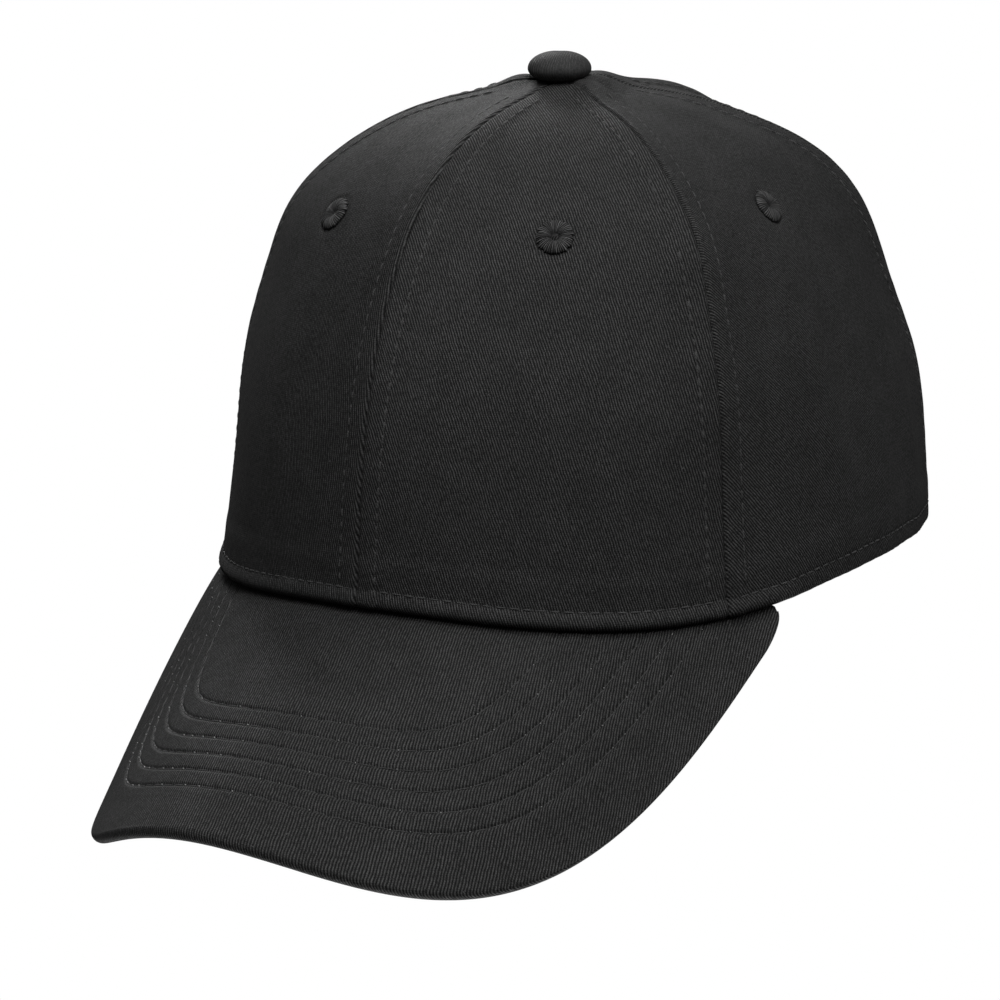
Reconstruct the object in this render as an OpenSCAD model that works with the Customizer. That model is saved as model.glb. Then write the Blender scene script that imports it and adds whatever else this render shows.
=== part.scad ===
// Baseball cap: six panels, curved bill, covered button, fabric strap and metal flip clasp.
// +Z is up, the bill points to -Y and +X is the wearer's left.
// The origin lies in the plane of the hem, straight below the button.

/* [Crown] */
// Hem outline, from the widest line to the front
crown_front = 86.5; // [84:0.5:89]
// Hem outline, from the widest line to the back
crown_back = 116.5; // [114:0.5:119]
// Hem outline, half of the greatest width
crown_side = 81; // [79:0.5:83]
// Height of the crown over the front of the hem
crown_h = 116.2; // [111:0.2:120]
// Height of the small peak that the panels are drawn up into under the button
peak_h = 2.2; // [1:0.2:3]
// Angle of the seam between front and side panels, from the front
seam_angle = 64; // [62:0.5:66]
// How flat each panel runs between its seams, 1 is a straight chord
panel_flat = 1.05; // [0:0.05:1.1]
// Thickness of the twill
cloth = 0.9; // [0.6:0.1:0.9]
// Gap left between neighbouring pieces
gap = 0.2; // [0.15:0.05:0.25]

/* [Hem] */
// How far the hem rises and dips round the cap, 1 is its full wave and 0 is flat
hem_swing = 1; // [0.5:0.05:1.1]
// Height of the sweatband
band_h = 30; // [26:1:34]
// Thickness of the sweatband
band_t = 1; // [0.8:0.1:1.2]

/* [Bill] */
// Reach of the bill in front of the crown at its centre
bill_len = 68.7; // [66:0.1:72]
// Half width of the bill outline
bill_side = 81.1; // [79.5:0.1:82]
// Angle at which the bill ends, from the front
bill_angle = 75; // [73:0.5:76]
// Slope of the bill at its centre, fall per length
slope_mid = 0.585; // [0.5:0.005:0.64]
// Extra slope towards the bill ends
slope_end = 2.36; // [2.1:0.02:2.5]
// How much of that slope is lost again close to the ends
slope_ease = 1.73; // [1.5:0.01:1.8]
// Thickness of the bill board
board_t = 1.6; // [1.4:0.1:1.8]
// Thickness of each bill cover
cover_t = 0.7; // [0.5:0.1:0.8]

/* [Button and eyelets] */
// Diameter of the covered button
button_d = 15.8; // [14:0.2:17]
// Height of the covered button
button_h = 7.4; // [6:0.2:8]
// Outer diameter of a sewn eyelet
eyelet_d = 9; // [8:0.2:10]
// Hole of a sewn eyelet
eyelet_hole = 2; // [1.6:0.2:3]
// Height of the eyelets over the hem, as an angle up the crown
eyelet_rise = 45.5; // [42:0.5:48]

/* [Back opening] */
// Half angle of the arch at the hem
arch_angle = 30; // [28:0.5:31]
// Height of the arch over the hem
arch_h = 47; // [44:1:50]
// Width of the closure strap
strap_w = 19; // [18:0.5:19]
// Thickness of the closure strap
strap_t = 1.4; // [1.2:0.1:1.4]

/* [Clasp] */
// Angle of the clasp past the centre of the back
clasp_angle = 15.5; // [15:0.5:16]
// Radius of the hinge pin
pin_r = 0.8; // [0.7:0.05:0.8]
// Radial clearance of the lever on its pin
pin_play = 0.05; // [0.03:0.01:0.08]
// Thickness of the clasp metal
metal_t = 0.9; // [0.8:0.1:1]

/* [Hidden] */
$fn = 64;

black = [0.085, 0.085, 0.09];
inner_black = [0.06, 0.06, 0.065];
board_grey = [0.75, 0.75, 0.72];
steel = [0.62, 0.6, 0.56];

// Exponents of the crown's outline curve at the front, sides and back
rise_n = [2.5, 2.73, 2.42];
fall_n = [2.5, 2.62, 2.9];
// Width of the peak, as a share of the hem radius
peak_w = 0.14;
// Places where the crown is fuller or slimmer: by what share, at what share of its height and over
// what share of it, at what angle from the front and over what angle
swells = [[-0.015, 0.25, 0.18, 58, 32], [0.046, 0.79, 0.13, 58, 32], [-0.027, 0.55, 0.15, 127, 28],
    [0.01, 0.8, 0.1, 127, 28], [-0.06, 0.95, 0.06, 127, 28]];
// Waves of the hem's height, one to five times round the cap
hem_wave = [2.5, -0.1, -1.15, -1.35, 0.3];
// Layers inward from the outside of the twill
buckram_in = cloth + 0.1;
buckram_t = 0.5;
tape_in = buckram_in + buckram_t + 0.35;
tape_t = 0.5;
tape_w = 14;
band_in = tape_in + tape_t + 0.2;
// Where the panels stop round the rivet, as a share of the hem radius
apex_hole = 0.04;
apex_t = acos(pow(apex_hole, 1.25));
hem_clear = 0.4;
shoulder_h = crown_h - peak_h;
// Bill
bill_y0 = -crown_front * cos(bill_angle);
bill_reach = crown_front + bill_len + bill_y0;
tuck = 3;
board_inset = 2;
// Strap and clasp, in the clasp's own frame: X along the strap, Y outward, Z up
strap_z = hem_z(180) + 1.7;
clasp_z = strap_z + strap_w / 2;
strap_out = -2.4;
clasp_half = strap_w / 2 + 0.6;
knuckle_r = 1.6;
pin_x = 6;
pin_y = strap_out + 0.3 + knuckle_r;
bar_x = -10.5;
bar_r = 0.9;
loop_t = 0.5;
bar_y = strap_out + 0.35 + bar_r + 0.15 + loop_t;
plate_y = strap_out - strap_t - 0.25;

// ---------- crown surface ----------

function front_w(a) = pow(max(cos(a), 0), 2);
function back_w(a) = pow(max(-cos(a), 0), 2);
function blend(a, v) = front_w(a) * v[0] + back_w(a) * v[2] + (1 - front_w(a) - back_w(a)) * v[1];
function hem_z(a) = hem_swing * hem_wave * [for (k = [1:5]) 1 - cos(k * a)];
function hem_y(a) = -(cos(a) > 0 ? crown_front : crown_back) * cos(a);
function hem_pt(a) = [crown_side * sin(a), hem_y(a), hem_z(a)];
// Position across a panel, 0 at one seam and 1 at the next
function fold(a) = abs(a) > 180 ? 360 - abs(a) : abs(a);
function across(b) = b < seam_angle ? b / seam_angle
    : b < 2 * seam_angle ? b / seam_angle - 1
    : (b - 2 * seam_angle) / (180 - 2 * seam_angle);
function chord(a) = let(u = across(fold(a))) panel_flat * 0.134 * 4 * u * (1 - u);
function rise(a, t) = pow(sin(t), 2 / blend(a, rise_n));
function fullness(a, h) = [for (k = swells) k[0]]
    * [for (k = swells) exp(-pow((h - k[1]) / k[2], 2) - pow((fold(a) - k[3]) / k[4], 2))];
function fall(a, t) = pow(cos(t), 2 / blend(a, fall_n)) * (1 - chord(a) * pow(rise(a, t), 1.5))
    * (1 + fullness(a, rise(a, t)));
// Rise of the peak at a share r of the hem radius
function peak(r) = peak_h * exp(-pow(r / peak_w, 2));
// Point of the crown: a turns from the front, t climbs from the hem (0) to the top (90)
function crown_pt(a, t) = let(r = fall(a, t), h = hem_pt(a))
    [r * h.x, r * h.y, h.z + rise(a, t) * (shoulder_h - h.z) + peak(r)];
function unit(v) = v / norm(v);
function crown_n(a, t) = let(lo = max(t - 1, 0.01), hi = min(t + 1, 89.9))
    unit(cross(crown_pt(a + 0.5, t) - crown_pt(a - 0.5, t), crown_pt(a, hi) - crown_pt(a, lo)));
function layer_pt(a, t, d) = crown_pt(a, t) - d * crown_n(a, t);
// Climb angle that reaches height z over the hem
function climb(a, z) = asin(pow(z / (shoulder_h - hem_z(a)), blend(a, rise_n) / 2));
// Turn angle that covers width w at a point of the crown
function turn(w, a, t) = w / (norm([crown_side * cos(a), crown_back * sin(a)]) * fall(a, t)) * 180 / PI;

// ---------- closed solid between two grids of points ----------

module slab(outer, inner) {
    nc = len(outer[0]);
    nr = len(outer);
    n = nr * nc;
    points = [for (g = [outer, inner]) for (row = g) for (p = row) p];
    top = [for (j = [0:nr - 2]) for (i = [0:nc - 2]) let(k = j * nc + i)
        each [[k, k + nc, k + nc + 1], [k, k + nc + 1, k + 1]]];
    rim = concat([for (i = [0:nc - 1]) i], [for (j = [1:nr - 1]) j * nc + nc - 1],
        [for (i = [nc - 2:-1:0]) (nr - 1) * nc + i], [for (j = [nr - 2:-1:1]) j * nc]);
    m = len(rim);
    wall = [for (k = [0:m - 1]) let(p = rim[k], q = rim[(k + 1) % m])
        each [[p, q, q + n], [p, q + n, p + n]]];
    polyhedron(points, concat(top, [for (f = top) [f[0] + n, f[2] + n, f[1] + n]], wall));
}

// Panel over a row of turn angles, from depth d0 inward, with its lower edge cut by the arch
rows = 14;
function arch_z(a) = let(c = (180 - a) / arch_angle) c < 1 ? arch_h * sqrt(1 - c * c) : 0;
function panel_grid(turns, d, last) = [for (j = [0:last]) [for (i = [0:len(turns) - 1])
    let(a = turns[i],
        t0 = climb(a, hem_clear + arch_z(a)),
        t = t0 + (apex_t - t0) * j / rows,
        side = i == 0 ? 1 : i == len(turns) - 1 ? -1 : 0)
    layer_pt(a + side * turn(gap / 2, a, t), t, d)]];
module panel(turns, d0, thick, last = rows) {
    slab(panel_grid(turns, d0, last), panel_grid(turns, d0 + thick, last));
}

module at_crown(a, t) {
    n = crown_n(a, t);
    translate(crown_pt(a, t)) rotate([0, acos(n.z), atan2(n.y, n.x)]) children();
}

module eyelet_bore(a, r) {
    at_crown(a, eyelet_rise) cylinder(h = 12, r = r, center = true);
}

front_turns = [for (i = [0:10]) i * seam_angle / 10];
side_turns = [for (i = [0:10]) seam_angle * (1 + i / 10)];
back_turns = concat([for (i = [0:3]) 2 * seam_angle + i * (180 - arch_angle - 2 * seam_angle) / 4],
    [for (i = [0:9]) 180 - arch_angle * cos(i * 10)]);
eyelet_turns = [seam_angle / 2 + 2, seam_angle * 1.5 - 1.5, 90 + seam_angle];
hole_r = eyelet_d / 2 - 1.6;

module panel_left(turns, k) {
    color(black) difference() {
        panel(turns, 0, cloth);
        eyelet_bore(eyelet_turns[k], hole_r);
    }
}
module front_panel_left() { panel_left(front_turns, 0); }
module front_panel_right() { mirror([1, 0, 0]) front_panel_left(); }
module side_panel_left() { panel_left(side_turns, 1); }
module side_panel_right() { mirror([1, 0, 0]) side_panel_left(); }
module back_panel_left() { panel_left(back_turns, 2); }
module back_panel_right() { mirror([1, 0, 0]) back_panel_left(); }

// Stiffener behind each front panel
module buckram_left() {
    color(inner_black) difference() {
        panel(front_turns, buckram_in, buckram_t, rows - 1);
        eyelet_bore(eyelet_turns[0], eyelet_d / 2 + 0.3);
    }
}
module buckram_right() { mirror([1, 0, 0]) buckram_left(); }

// ---------- seam tapes ----------

// Height of the crown near its top, over a point of the plan
function top_z(p) = let(
    a = atan2(p.x / crown_side, -p.y / (p.y < 0 ? crown_front : crown_back)),
    r = norm([p.x / crown_side, p.y / (p.y < 0 ? crown_front : crown_back)]),
    t = acos(pow(min(r / (1 - chord(a)), 1), blend(a, fall_n) / 2)))
    hem_z(a) + rise(a, t) * (shoulder_h - hem_z(a)) + peak(r);
function plan_dir(a) = unit([hem_pt(a).x, hem_pt(a).y]);
// A tape runs down seam a0, over the top and down seam a1, and lies deeper at the top by lift
function tape_side(a, d, low, flip) = [for (z = [low:(90 - low) / 9:90.1]) let(t = climb(a, z))
    [for (w = [-1:0.5:1]) layer_pt(a + flip * turn(w * tape_w / 2, a, t), t, d)]];
function tape_top(a0, a1, d) = [for (s = [24:-6:-24])
    let(e = plan_dir(s > 0 ? a0 : a1),
        f = (s + 24) / 48,
        l = unit(f * cross_of(plan_dir(a0)) - (1 - f) * cross_of(plan_dir(a1))))
    [for (w = [-1:0.5:1]) let(p = abs(s) * e + w * tape_w / 2 * l)
        [p.x, p.y, top_z(p) - d]]];
function cross_of(e) = [-e.y, e.x];
function tape_grid(a0, a1, d, lift, low0, low1) = concat(
    tape_side(a0, d, low0, 1),
    tape_top(a0, a1, d + lift),
    [for (i = [9:-1:0]) tape_side(a1, d, low1, -1)[i]]);
module tape(a0, a1, lift, low0, low1) {
    color(inner_black) difference() {
        slab(tape_grid(a0, a1, tape_in, lift, low0, low1),
             tape_grid(a0, a1, tape_in + tape_t, lift, low0, low1));
        cylinder(h = 200, r = 2);
    }
}
module seam_tape_centre() { tape(0, 180, 0.2, 2, arch_h + 8); }
module seam_tape_cross_left() { tape(seam_angle, -2 * seam_angle, 0.9, 2, 2); }
module seam_tape_cross_right() { tape(-seam_angle, 2 * seam_angle, 1.6, 2, 2); }

// ---------- sweatband ----------

function band_grid(d) = [for (z = [1, band_h / 2, band_h]) [for (a = [-141:6:141])
    layer_pt(a, climb(a, z), d)]];
module sweatband() {
    color(inner_black) slab(band_grid(band_in), band_grid(band_in + band_t));
}

// ---------- eyelets: stitched rings through the cloth ----------

module eyelet(k, depth) {
    ring_w = 1.5;
    r1 = eyelet_d / 2;
    r0 = eyelet_hole / 2;
    neck = hole_r - 0.15;
    color(black) at_crown(eyelet_turns[k], eyelet_rise) rotate_extrude() polygon([
        [r0, -depth - 0.6], [r0 + 0.3, -depth - 0.8], [r1 - 0.4, -depth - 0.8],
        [r1, -depth - 0.5], [r1, -depth - 0.25], [neck, -depth - 0.25], [neck, 0.25],
        [r1, 0.25], [r1, 0.5], [r1 - 0.5, 0.85], [r1 - ring_w, 0.9], [r0 + 0.4, 0.7],
        [r0, 0.4]]);
}
module eyelet_front_left() { eyelet(0, cloth + 0.2); }
module eyelet_front_right() { mirror([1, 0, 0]) eyelet_front_left(); }
module eyelet_side_left() { eyelet(1, cloth + 0.1); }
module eyelet_side_right() { mirror([1, 0, 0]) eyelet_side_left(); }
module eyelet_back_left() { eyelet(2, cloth + 0.1); }
module eyelet_back_right() { mirror([1, 0, 0]) eyelet_back_left(); }

// ---------- button on top ----------

cap_t = 0.6;
button_z = crown_h - 0.2;
waist = 0.43 * button_h;
function dome(r, h) = [for (q = [0:10:80]) [r * cos(q), waist + h * sin(q)]];
function bowl(r, h) = [for (q = [-65:13:-13]) [r * cos(q), waist + h * sin(q)]];
function reversed(v) = [for (k = [len(v) - 1:-1:0]) v[k]];
// Hollow round body, its wall lying between the depths d and d + wall under the button's outside
module hollow_button(d, wall, mouth) {
    r = button_d / 2 - d;
    low = waist - d;
    high = button_h - waist - d;
    rotate_extrude() polygon(concat(
        [for (m = mouth) [m, waist - low * sin(65)]], bowl(r, low), dome(r, high), [[0, waist + high]],
        [[0, waist + high - wall]], reversed(dome(r - wall, high - wall)), reversed(bowl(r - wall, low - wall)),
        [for (m = mouth) [m, waist - (low - wall) * sin(65)]]));
}
module button_cover() {
    color(black) translate([0, 0, button_z]) hollow_button(0, cap_t, []);
}
module button_shell() {
    color(steel) translate([0, 0, button_z]) hollow_button(cap_t + 0.05, 0.4, [1.6]);
}
module button_rivet() {
    color(steel) translate([0, 0, crown_h]) rotate_extrude() polygon([
        [0, -6.4], [6.6, -6.4], [7, -6], [7, -5.6], [1.5, -5.6], [1.5, 1.9], [0, 1.9]]);
}

// ---------- bill ----------

function bill_out(u) = [bill_side * sin(90 * u), bill_y0 - bill_reach * cos(90 * u)];
function slope(u) = slope_mid + slope_end * u * u - slope_ease * pow(u, 4);
// Rounded corner where the bill's edge runs in under the hem
function corner(u) = let(x = min(max((abs(u) - 0.945) / 0.04, 0), 1)) 1 - 0.75 * (1 - sqrt(1 - x * x));
function bill_run(u) = let(p = hem_pt(u * bill_angle)) corner(u) * (bill_out(u) - [p.x, p.y]);
// Point of the bill: u runs from end to end, s is the distance out from the hem
function bill_pt(u, s) = let(p = hem_pt(u * bill_angle), e = unit(bill_run(u)), in = unit([p.x, p.y]))
    s < 0 ? [p.x + s * in.x, p.y + s * in.y, p.z]
    : [p.x + s * e.x, p.y + s * e.y, p.z - slope(u) * s];
function bill_n(u, s) = unit(cross(bill_pt(u + 0.004, s) - bill_pt(u - 0.004, s),
    bill_pt(u, s + 0.2) - bill_pt(u, s - 0.2)));
function bill_grid(u_max, inset, d) = [for (j = [0:8]) [for (i = [16:-1:-16])
    let(u = u_max * sin(90 * i / 16),
        s = j == 0 ? -tuck : (j - 1) / 7 * (norm(bill_run(u)) - inset))
    bill_pt(u, s) + d * bill_n(u, s)]];
module bill_layer(u_max, inset, d0, thick) {
    slab(bill_grid(u_max, inset, d0), bill_grid(u_max, inset, d0 + thick));
}
module bill_top_cover() { color(black) bill_layer(0.985, 0, 0, cover_t); }
module bill_board() { color(board_grey) bill_layer(0.93, board_inset, cover_t + gap, board_t); }
module bill_under_cover() { color(black) bill_layer(0.985, 0, cover_t + board_t + 2 * gap, cover_t); }

// ---------- back opening ----------

// Strip along the inside of the arch
function arch_row(out, d) = [for (q = [0:10:180]) let(
        a = 180 - (arch_angle + 0.3 + out * 4.2) * cos(q),
        z = 1.2 + (arch_h + 0.3 + out * 5.8) * sin(q))
    layer_pt(a, climb(a, z), d)];
module arch_binding() {
    color(inner_black) slab([arch_row(0, cloth + 0.4), arch_row(1, cloth + 0.4)],
                            [arch_row(0, cloth + 0.9), arch_row(1, cloth + 0.9)]);
}

// Plan curve of the back of the cap, d inside the twill
function back_pt(a, d) = let(p = hem_pt(a), q = unit([p.x / pow(crown_side, 2), p.y / pow(crown_back, 2)]))
    [p.x - d * q.x, p.y - d * q.y];
clasp_a = 180 + clasp_angle;
clasp_o = back_pt(clasp_a, 0);
clasp_n = clasp_o - back_pt(clasp_a, 1);
clasp_turn = atan2(clasp_n.y, clasp_n.x) - 90;
function clasp_pt(x, y) = clasp_o + [x * cos(clasp_turn) - y * sin(clasp_turn),
                                     x * sin(clasp_turn) + y * cos(clasp_turn)];
function path_n(path, i) = let(v = path[min(i + 1, len(path) - 1)] - path[max(i - 1, 0)])
    unit([-v.y, v.x]);
module ribbon(path, t, w) {
    linear_extrude(w) polygon(concat(
        [for (i = [0:len(path) - 1]) path[i] + t / 2 * path_n(path, i)],
        [for (i = [len(path) - 1:-1:0]) path[i] - t / 2 * path_n(path, i)]));
}

module closure_strap() {
    mid = strap_out - strap_t / 2;
    color(black) translate([0, 0, strap_z]) ribbon(concat(
        [for (a = [144:4:186]) back_pt(a, 3.9 + strap_t / 2)],
        [for (x = [9:-4.5:-9]) clasp_pt(x, mid)],
        [for (a = [208:3:217]) back_pt(a, 5.4 + strap_t / 2)]), strap_t, strap_w);
}

module clasp_loop() {
    r = bar_r + 0.15 + loop_t / 2;
    color(black) translate([0, 0, clasp_z - strap_w / 2 + 0.5]) ribbon(concat(
        [for (a = [217:-3:208]) back_pt(a, 5.2 - loop_t / 2)],
        [clasp_pt(bar_x - 3, bar_y - r - 0.3)],
        [for (q = [-90:30:90]) clasp_pt(bar_x + r * cos(q), bar_y + r * sin(q))],
        [clasp_pt(bar_x - 3.4, bar_y - 0.4)],
        [for (a = [208:3:217]) back_pt(a, 3.9 + loop_t / 2)]), loop_t, strap_w - 1);
}

module in_clasp() {
    translate([clasp_o.x, clasp_o.y, clasp_z]) rotate([0, 0, clasp_turn]) children();
}

module clasp_frame() {
    flange = [[-8.5, plate_y - metal_t], [8, plate_y - metal_t], [8, pin_y - 0.6],
              [4.4, pin_y - 0.6], [2, strap_out + 0.2], [-7, strap_out + 0.2],
              [-9.2, bar_y], [-11.4, bar_y], [-11.4, strap_out - 0.6]];
    color(steel) in_clasp() difference() {
        union() {
            translate([-6, plate_y - metal_t, -clasp_half - metal_t])
                cube([13, metal_t, 2 * (clasp_half + metal_t)]);
            for (z = [-clasp_half - metal_t, clasp_half]) translate([0, 0, z]) {
                linear_extrude(metal_t) polygon(flange);
                translate([pin_x, pin_y, 0]) cylinder(h = metal_t, r = 1.9);
                translate([bar_x, bar_y, 0]) cylinder(h = metal_t, r = 1.4);
            }
            translate([bar_x, bar_y, 0]) cylinder(h = 2 * clasp_half + 0.2, r = bar_r, center = true);
        }
        translate([pin_x, pin_y, 0]) cylinder(h = 4 * clasp_half, r = pin_r + 0.01, center = true);
    }
}

module clasp_pin() {
    color(steel) in_clasp() translate([pin_x, pin_y, 0]) {
        cylinder(h = 2 * (clasp_half + metal_t) + 0.4, r = pin_r, center = true);
        for (s = [-1, 1]) translate([0, 0, s * (clasp_half + metal_t + 0.3)])
            cylinder(h = 0.5, r = pin_r + 0.6, center = true);
    }
}

module clasp_lever() {
    half = clasp_half - 0.3;
    reach = 14;
    color(steel) in_clasp() translate([pin_x, pin_y, 0]) difference() {
        union() {
            cylinder(h = 2 * half, r = knuckle_r, center = true);
            translate([-reach, knuckle_r - 1, -half]) cube([reach, 1, 2 * half]);
            translate([-reach, knuckle_r - 0.3, 0]) cylinder(h = 2 * half, r = 0.7, center = true);
        }
        cylinder(h = 3 * half, r = pin_r + pin_play, center = true);
    }
}

front_panel_left();
front_panel_right();
side_panel_left();
side_panel_right();
back_panel_left();
back_panel_right();
buckram_left();
buckram_right();
seam_tape_centre();
seam_tape_cross_left();
seam_tape_cross_right();
sweatband();
eyelet_front_left();
eyelet_front_right();
eyelet_side_left();
eyelet_side_right();
eyelet_back_left();
eyelet_back_right();
button_cover();
button_shell();
button_rivet();
bill_top_cover();
bill_board();
bill_under_cover();
arch_binding();
closure_strap();
clasp_loop();
clasp_frame();
clasp_pin();
clasp_lever();
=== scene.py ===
import math

import bpy
import numpy as np
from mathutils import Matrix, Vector


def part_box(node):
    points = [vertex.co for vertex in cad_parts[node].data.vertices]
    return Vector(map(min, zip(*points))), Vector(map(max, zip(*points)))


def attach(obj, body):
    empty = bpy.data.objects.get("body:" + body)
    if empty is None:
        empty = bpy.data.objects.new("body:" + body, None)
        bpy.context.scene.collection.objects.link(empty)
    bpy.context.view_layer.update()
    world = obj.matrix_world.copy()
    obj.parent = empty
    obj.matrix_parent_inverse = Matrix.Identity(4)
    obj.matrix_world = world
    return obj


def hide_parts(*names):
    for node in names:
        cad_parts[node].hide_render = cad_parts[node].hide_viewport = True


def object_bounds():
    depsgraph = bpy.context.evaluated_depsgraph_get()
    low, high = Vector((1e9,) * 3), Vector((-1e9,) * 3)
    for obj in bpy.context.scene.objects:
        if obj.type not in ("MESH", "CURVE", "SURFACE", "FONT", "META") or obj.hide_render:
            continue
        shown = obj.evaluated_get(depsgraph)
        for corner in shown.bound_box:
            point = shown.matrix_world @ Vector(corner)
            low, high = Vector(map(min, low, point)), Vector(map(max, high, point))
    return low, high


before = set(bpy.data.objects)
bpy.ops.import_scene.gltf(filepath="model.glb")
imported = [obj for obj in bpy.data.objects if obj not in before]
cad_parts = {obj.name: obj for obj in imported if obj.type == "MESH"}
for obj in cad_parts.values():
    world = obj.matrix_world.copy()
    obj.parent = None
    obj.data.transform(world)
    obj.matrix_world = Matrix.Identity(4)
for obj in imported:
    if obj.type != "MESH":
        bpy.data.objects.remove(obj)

CAD_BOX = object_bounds()

# --- sizes, in millimetres and degrees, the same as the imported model's ---

# Crown. Reach at the hem from the axis through the button, then heights over the hem
FRONT, BACK, SIDE, CROWN_H, PEAK_H = 86.5, 116.5, 81.0, 116.2, 2.2
SHOULDER_H = CROWN_H - PEAK_H
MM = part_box("side_panel_left")[1].x / SIDE  # metres in one of these millimetres
SEAMS = (0, 64, 128, 180)  # turn angles of the panel seams
PANEL_FLAT = 1.05  # 0 is round between the seams, 1 nearly flat
CLOTH, HEM_CLEAR = 0.9, 0.4  # thickness of the cloth, and its start over the hem
HEM_WAVE = (2.5, -0.1, -1.15, -1.35, 0.3)  # the hem's rise and fall, once to five times round
PEAK_W = 0.14  # width of the peak under the button
RISE_N, FALL_N = (2.5, 2.73, 2.42), (2.5, 2.62, 2.9)  # roundness at the front, side and back
# Fuller and flatter places: how much, at what height and over how much of it, at what turn and over how much
SWELLS = ((-0.015, 0.25, 0.18, 58, 32), (0.046, 0.79, 0.13, 58, 32), (-0.027, 0.55, 0.15, 127, 28),
          (0.01, 0.8, 0.1, 127, 28), (-0.06, 0.95, 0.06, 127, 28))
TOP_T = 89.72  # where the panels stop under the button

# Layers inside the crown. IN is the depth of the layer's outside below the plain crown
BUCKRAM_IN, BUCKRAM_T = 1.0, 0.5
TAPE_IN, TAPE_T, TAPE_W = 1.85, 0.5, 14.0
BAND_IN, BAND_T, BAND_H, BAND_TURN = 2.55, 1.0, 30.0, 141

# Bill. Half width, turn at which it leaves the hem, reach, and its slope from the middle to the ends
BILL_SIDE, BILL_ANGLE, BILL_LEN = 81.1, 75.0, 68.7
SLOPE_MID, SLOPE_END, SLOPE_EASE = 0.585, 2.36, 1.73
COVER_T, BOARD_T, LAYER_GAP = 0.7, 1.6, 0.2
BILL_T = 2 * COVER_T + BOARD_T + 2 * LAYER_GAP

# Button, eyelets, arch, strap and clasp
BUTTON_R, BUTTON_Z = 7.9, CROWN_H - 0.2
EYELET_R, EYELET_HOLE, EYELET_RISE = 4.5, 1.0, 45.5
EYELET_TURNS = (34, 94.5, 154)
ARCH_ANGLE, ARCH_H = 30.0, 47.0
STRAP_W, STRAP_T, STRAP_Z, STRAP_OUT = 19.0, 1.4, 5.0, -2.4
CLASP_TURN, BAR_X, BAR_R, LOOP_T = 195.5, -10.5, 0.9, 0.5
PIN_GAP = 0.15  # between the clasp's bar and the loop round it
BAR_Y = STRAP_OUT + 0.35 + BAR_R + PIN_GAP + LOOP_T

# Sewing
SEAM_ROW = 5.0  # stitch line to seam
HEM_ROW = 4.5  # stitch line to hem edge
STITCH, BILL_STITCH = 3.2, 4.8
STITCH_ENDS = (0.09, 0.91)  # where a stitch starts and ends in its own length
BILL_ROWS = [15.6 + 5.35 * k for k in range(6)]  # distances of the stitch rows from the bill's edge
# The last radius is that of the pale flecks on the bill's rows, which are painted highlights of the thread.
THREAD_R, BILL_THREAD_R, THREAD_GLINT_R = 0.23, 0.15, 0.14
ARCH_CLEAR = ARCH_H + 8  # height over the hem where the back seam starts

RNG = np.random.default_rng(7)


def sind(x):
    return np.sin(np.radians(x))


def cosd(x):
    return np.cos(np.radians(x))


def norm(v):
    return np.linalg.norm(v, axis=-1)


def unit(v):
    return v / np.maximum(norm(v)[..., None], 1e-12)


def fade(x, full, none):
    """1 where x is below full, 0 where it is above none, smooth between."""
    f = np.clip((none - x) / (none - full), 0, 1)
    return f * f * (3 - 2 * f)


def bell(x, width):
    return np.exp(-(x / width) ** 2)


# --- the crown's surface: a turns from the front, t climbs from hem to top ---


def wrapped(a):
    return (a + 180) % 360 - 180


def folded(a):
    return np.abs(wrapped(a))


def mixed(a, v):
    front, back = np.maximum(cosd(a), 0) ** 2, np.maximum(-cosd(a), 0) ** 2
    return front * v[0] + back * v[2] + (1 - front - back) * v[1]


def hem_z(a):
    return sum(size * (1 - cosd(k * a)) for k, size in enumerate(HEM_WAVE, 1))


def hem_pt(a):
    return np.stack([SIDE * sind(a), -np.where(cosd(a) > 0, FRONT, BACK) * cosd(a), hem_z(a)], -1)


def rise(a, t):
    return np.maximum(sind(t), 0) ** (2 / mixed(a, RISE_N))


def fall(a, t):
    b = folded(a)
    wide = np.where(b < 2 * SEAMS[1], SEAMS[1], SEAMS[3] - SEAMS[2])
    u = np.where(b < 2 * SEAMS[1], b % SEAMS[1], b - SEAMS[2]) / wide
    chord = PANEL_FLAT * 0.134 * 4 * u * (1 - u)
    h = rise(a, t)
    fuller = sum(k * bell(h - up, tall) * bell(b - turn, wide) for k, up, tall, turn, wide in SWELLS)
    return np.maximum(cosd(t), 0) ** (2 / mixed(a, FALL_N)) * (1 - chord * h ** 1.5) * (1 + fuller)


def crown(a, t):
    a, t = np.broadcast_arrays(a, t)
    hem = hem_pt(a)
    r = fall(a, t)
    up = hem[..., 2] + rise(a, t) * (SHOULDER_H - hem[..., 2]) + PEAK_H * bell(r, PEAK_W)
    return np.stack([r * hem[..., 0], r * hem[..., 1], up], -1)


def normal(a, t):
    low, high = np.maximum(t - 0.5, 0.01), np.minimum(t + 0.5, 89.9)
    return unit(np.cross(crown(a + 0.25, t) - crown(a - 0.25, t), crown(a, high) - crown(a, low)))


def layer(a, t, depth):
    return crown(a, t) - np.asarray(depth)[..., None] * normal(a, t)


def climb(a, z):
    """Climb angle at height z over the hem."""
    share = np.clip(z / (SHOULDER_H - hem_z(a)), 0, 1)
    return np.degrees(np.arcsin(share ** (mixed(a, RISE_N) / 2)))


def over_hem(a, t):
    return rise(a, t) * (SHOULDER_H - hem_z(a))


def mm_per_degree(a, t):
    reach = np.where(cosd(a) > 0, FRONT, BACK)
    return np.hypot(SIDE * cosd(a), reach * sind(a)) * fall(a, t) * math.pi / 180


def travelled(points):
    """Distance from the first point of a line to each of its points."""
    steps = norm(np.diff(points, axis=0))
    return np.concatenate([[0], np.cumsum(steps)])


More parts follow.
